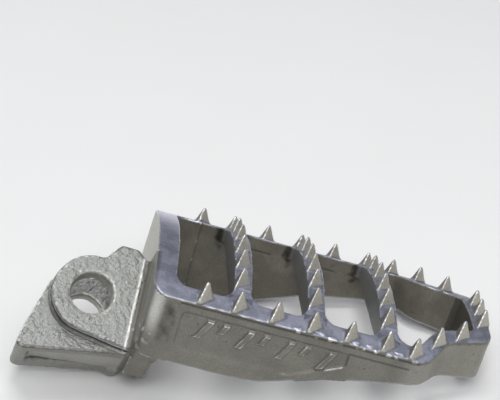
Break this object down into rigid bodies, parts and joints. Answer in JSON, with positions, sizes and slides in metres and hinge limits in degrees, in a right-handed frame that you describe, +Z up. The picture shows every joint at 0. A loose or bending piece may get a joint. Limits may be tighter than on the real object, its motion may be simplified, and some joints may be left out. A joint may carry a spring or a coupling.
{
  "type": "foot peg",
  "caption": "Cast steel foot peg for an off-road motorcycle: open toothed platform with cross bars, and a clevis with a pivot bore and a stop heel at the mount end",
  "frame": {"origin": "middle of the clevis on the axis of the pivot bore", "axes": "+X from the pivot towards the tip of the peg, along the platform; +Z up, square to the platform's flat plane; +Y across the platform, away from the wall with the raised marks"},
  "size_m": [0.1122, 0.0517, 0.0442],
  "materials": {
    "end_plate": "bead-blasted bare cast steel",
    "front_rail": "bead-blasted bare cast steel",
    "rear_rail": "bead-blasted bare cast steel",
    "tip_hoop": "bead-blasted bare cast steel",
    "cross_bar_inner": "bead-blasted bare cast steel",
    "cross_bar_middle": "bead-blasted bare cast steel",
    "cross_bar_outer": "bead-blasted bare cast steel",
    "front_rail_teeth": "bead-blasted bare cast steel",
    "rear_rail_teeth": "bead-blasted bare cast steel",
    "tip_teeth": "bead-blasted bare cast steel",
    "cross_bar_inner_teeth": "bead-blasted bare cast steel",
    "cross_bar_middle_teeth": "bead-blasted bare cast steel",
    "cross_bar_outer_teeth": "bead-blasted bare cast steel",
    "upper_ear": "bead-blasted bare cast steel",
    "stop_lug": "bead-blasted bare cast steel",
    "lower_ear": "bead-blasted bare cast steel",
    "heel_top_plate": "bead-blasted bare cast steel",
    "heel_end_wall": "bead-blasted bare cast steel",
    "heel_back_wall": "bead-blasted bare cast steel",
    "clevis_web": "bead-blasted bare cast steel",
    "front_relief": "bead-blasted bare cast steel"
  },
  "bodies": {
    "root": {"end_plate": "end_plate", "front_rail": "front_rail", "rear_rail": "rear_rail", "tip_hoop": "tip_hoop", "cross_bar_inner": "cross_bar_inner", "cross_bar_middle": "cross_bar_middle", "cross_bar_outer": "cross_bar_outer", "front_rail_teeth": "front_rail_teeth", "rear_rail_teeth": "rear_rail_teeth", "tip_teeth": "tip_teeth", "cross_bar_inner_teeth": "cross_bar_inner_teeth", "cross_bar_middle_teeth": "cross_bar_middle_teeth", "cross_bar_outer_teeth": "cross_bar_outer_teeth", "upper_ear": "upper_ear", "stop_lug": "stop_lug", "lower_ear": "lower_ear", "heel_top_plate": "heel_top_plate", "heel_end_wall": "heel_end_wall", "heel_back_wall": "heel_back_wall", "clevis_web": "clevis_web", "front_relief": "front_relief"}
  },
  "joints": []
}
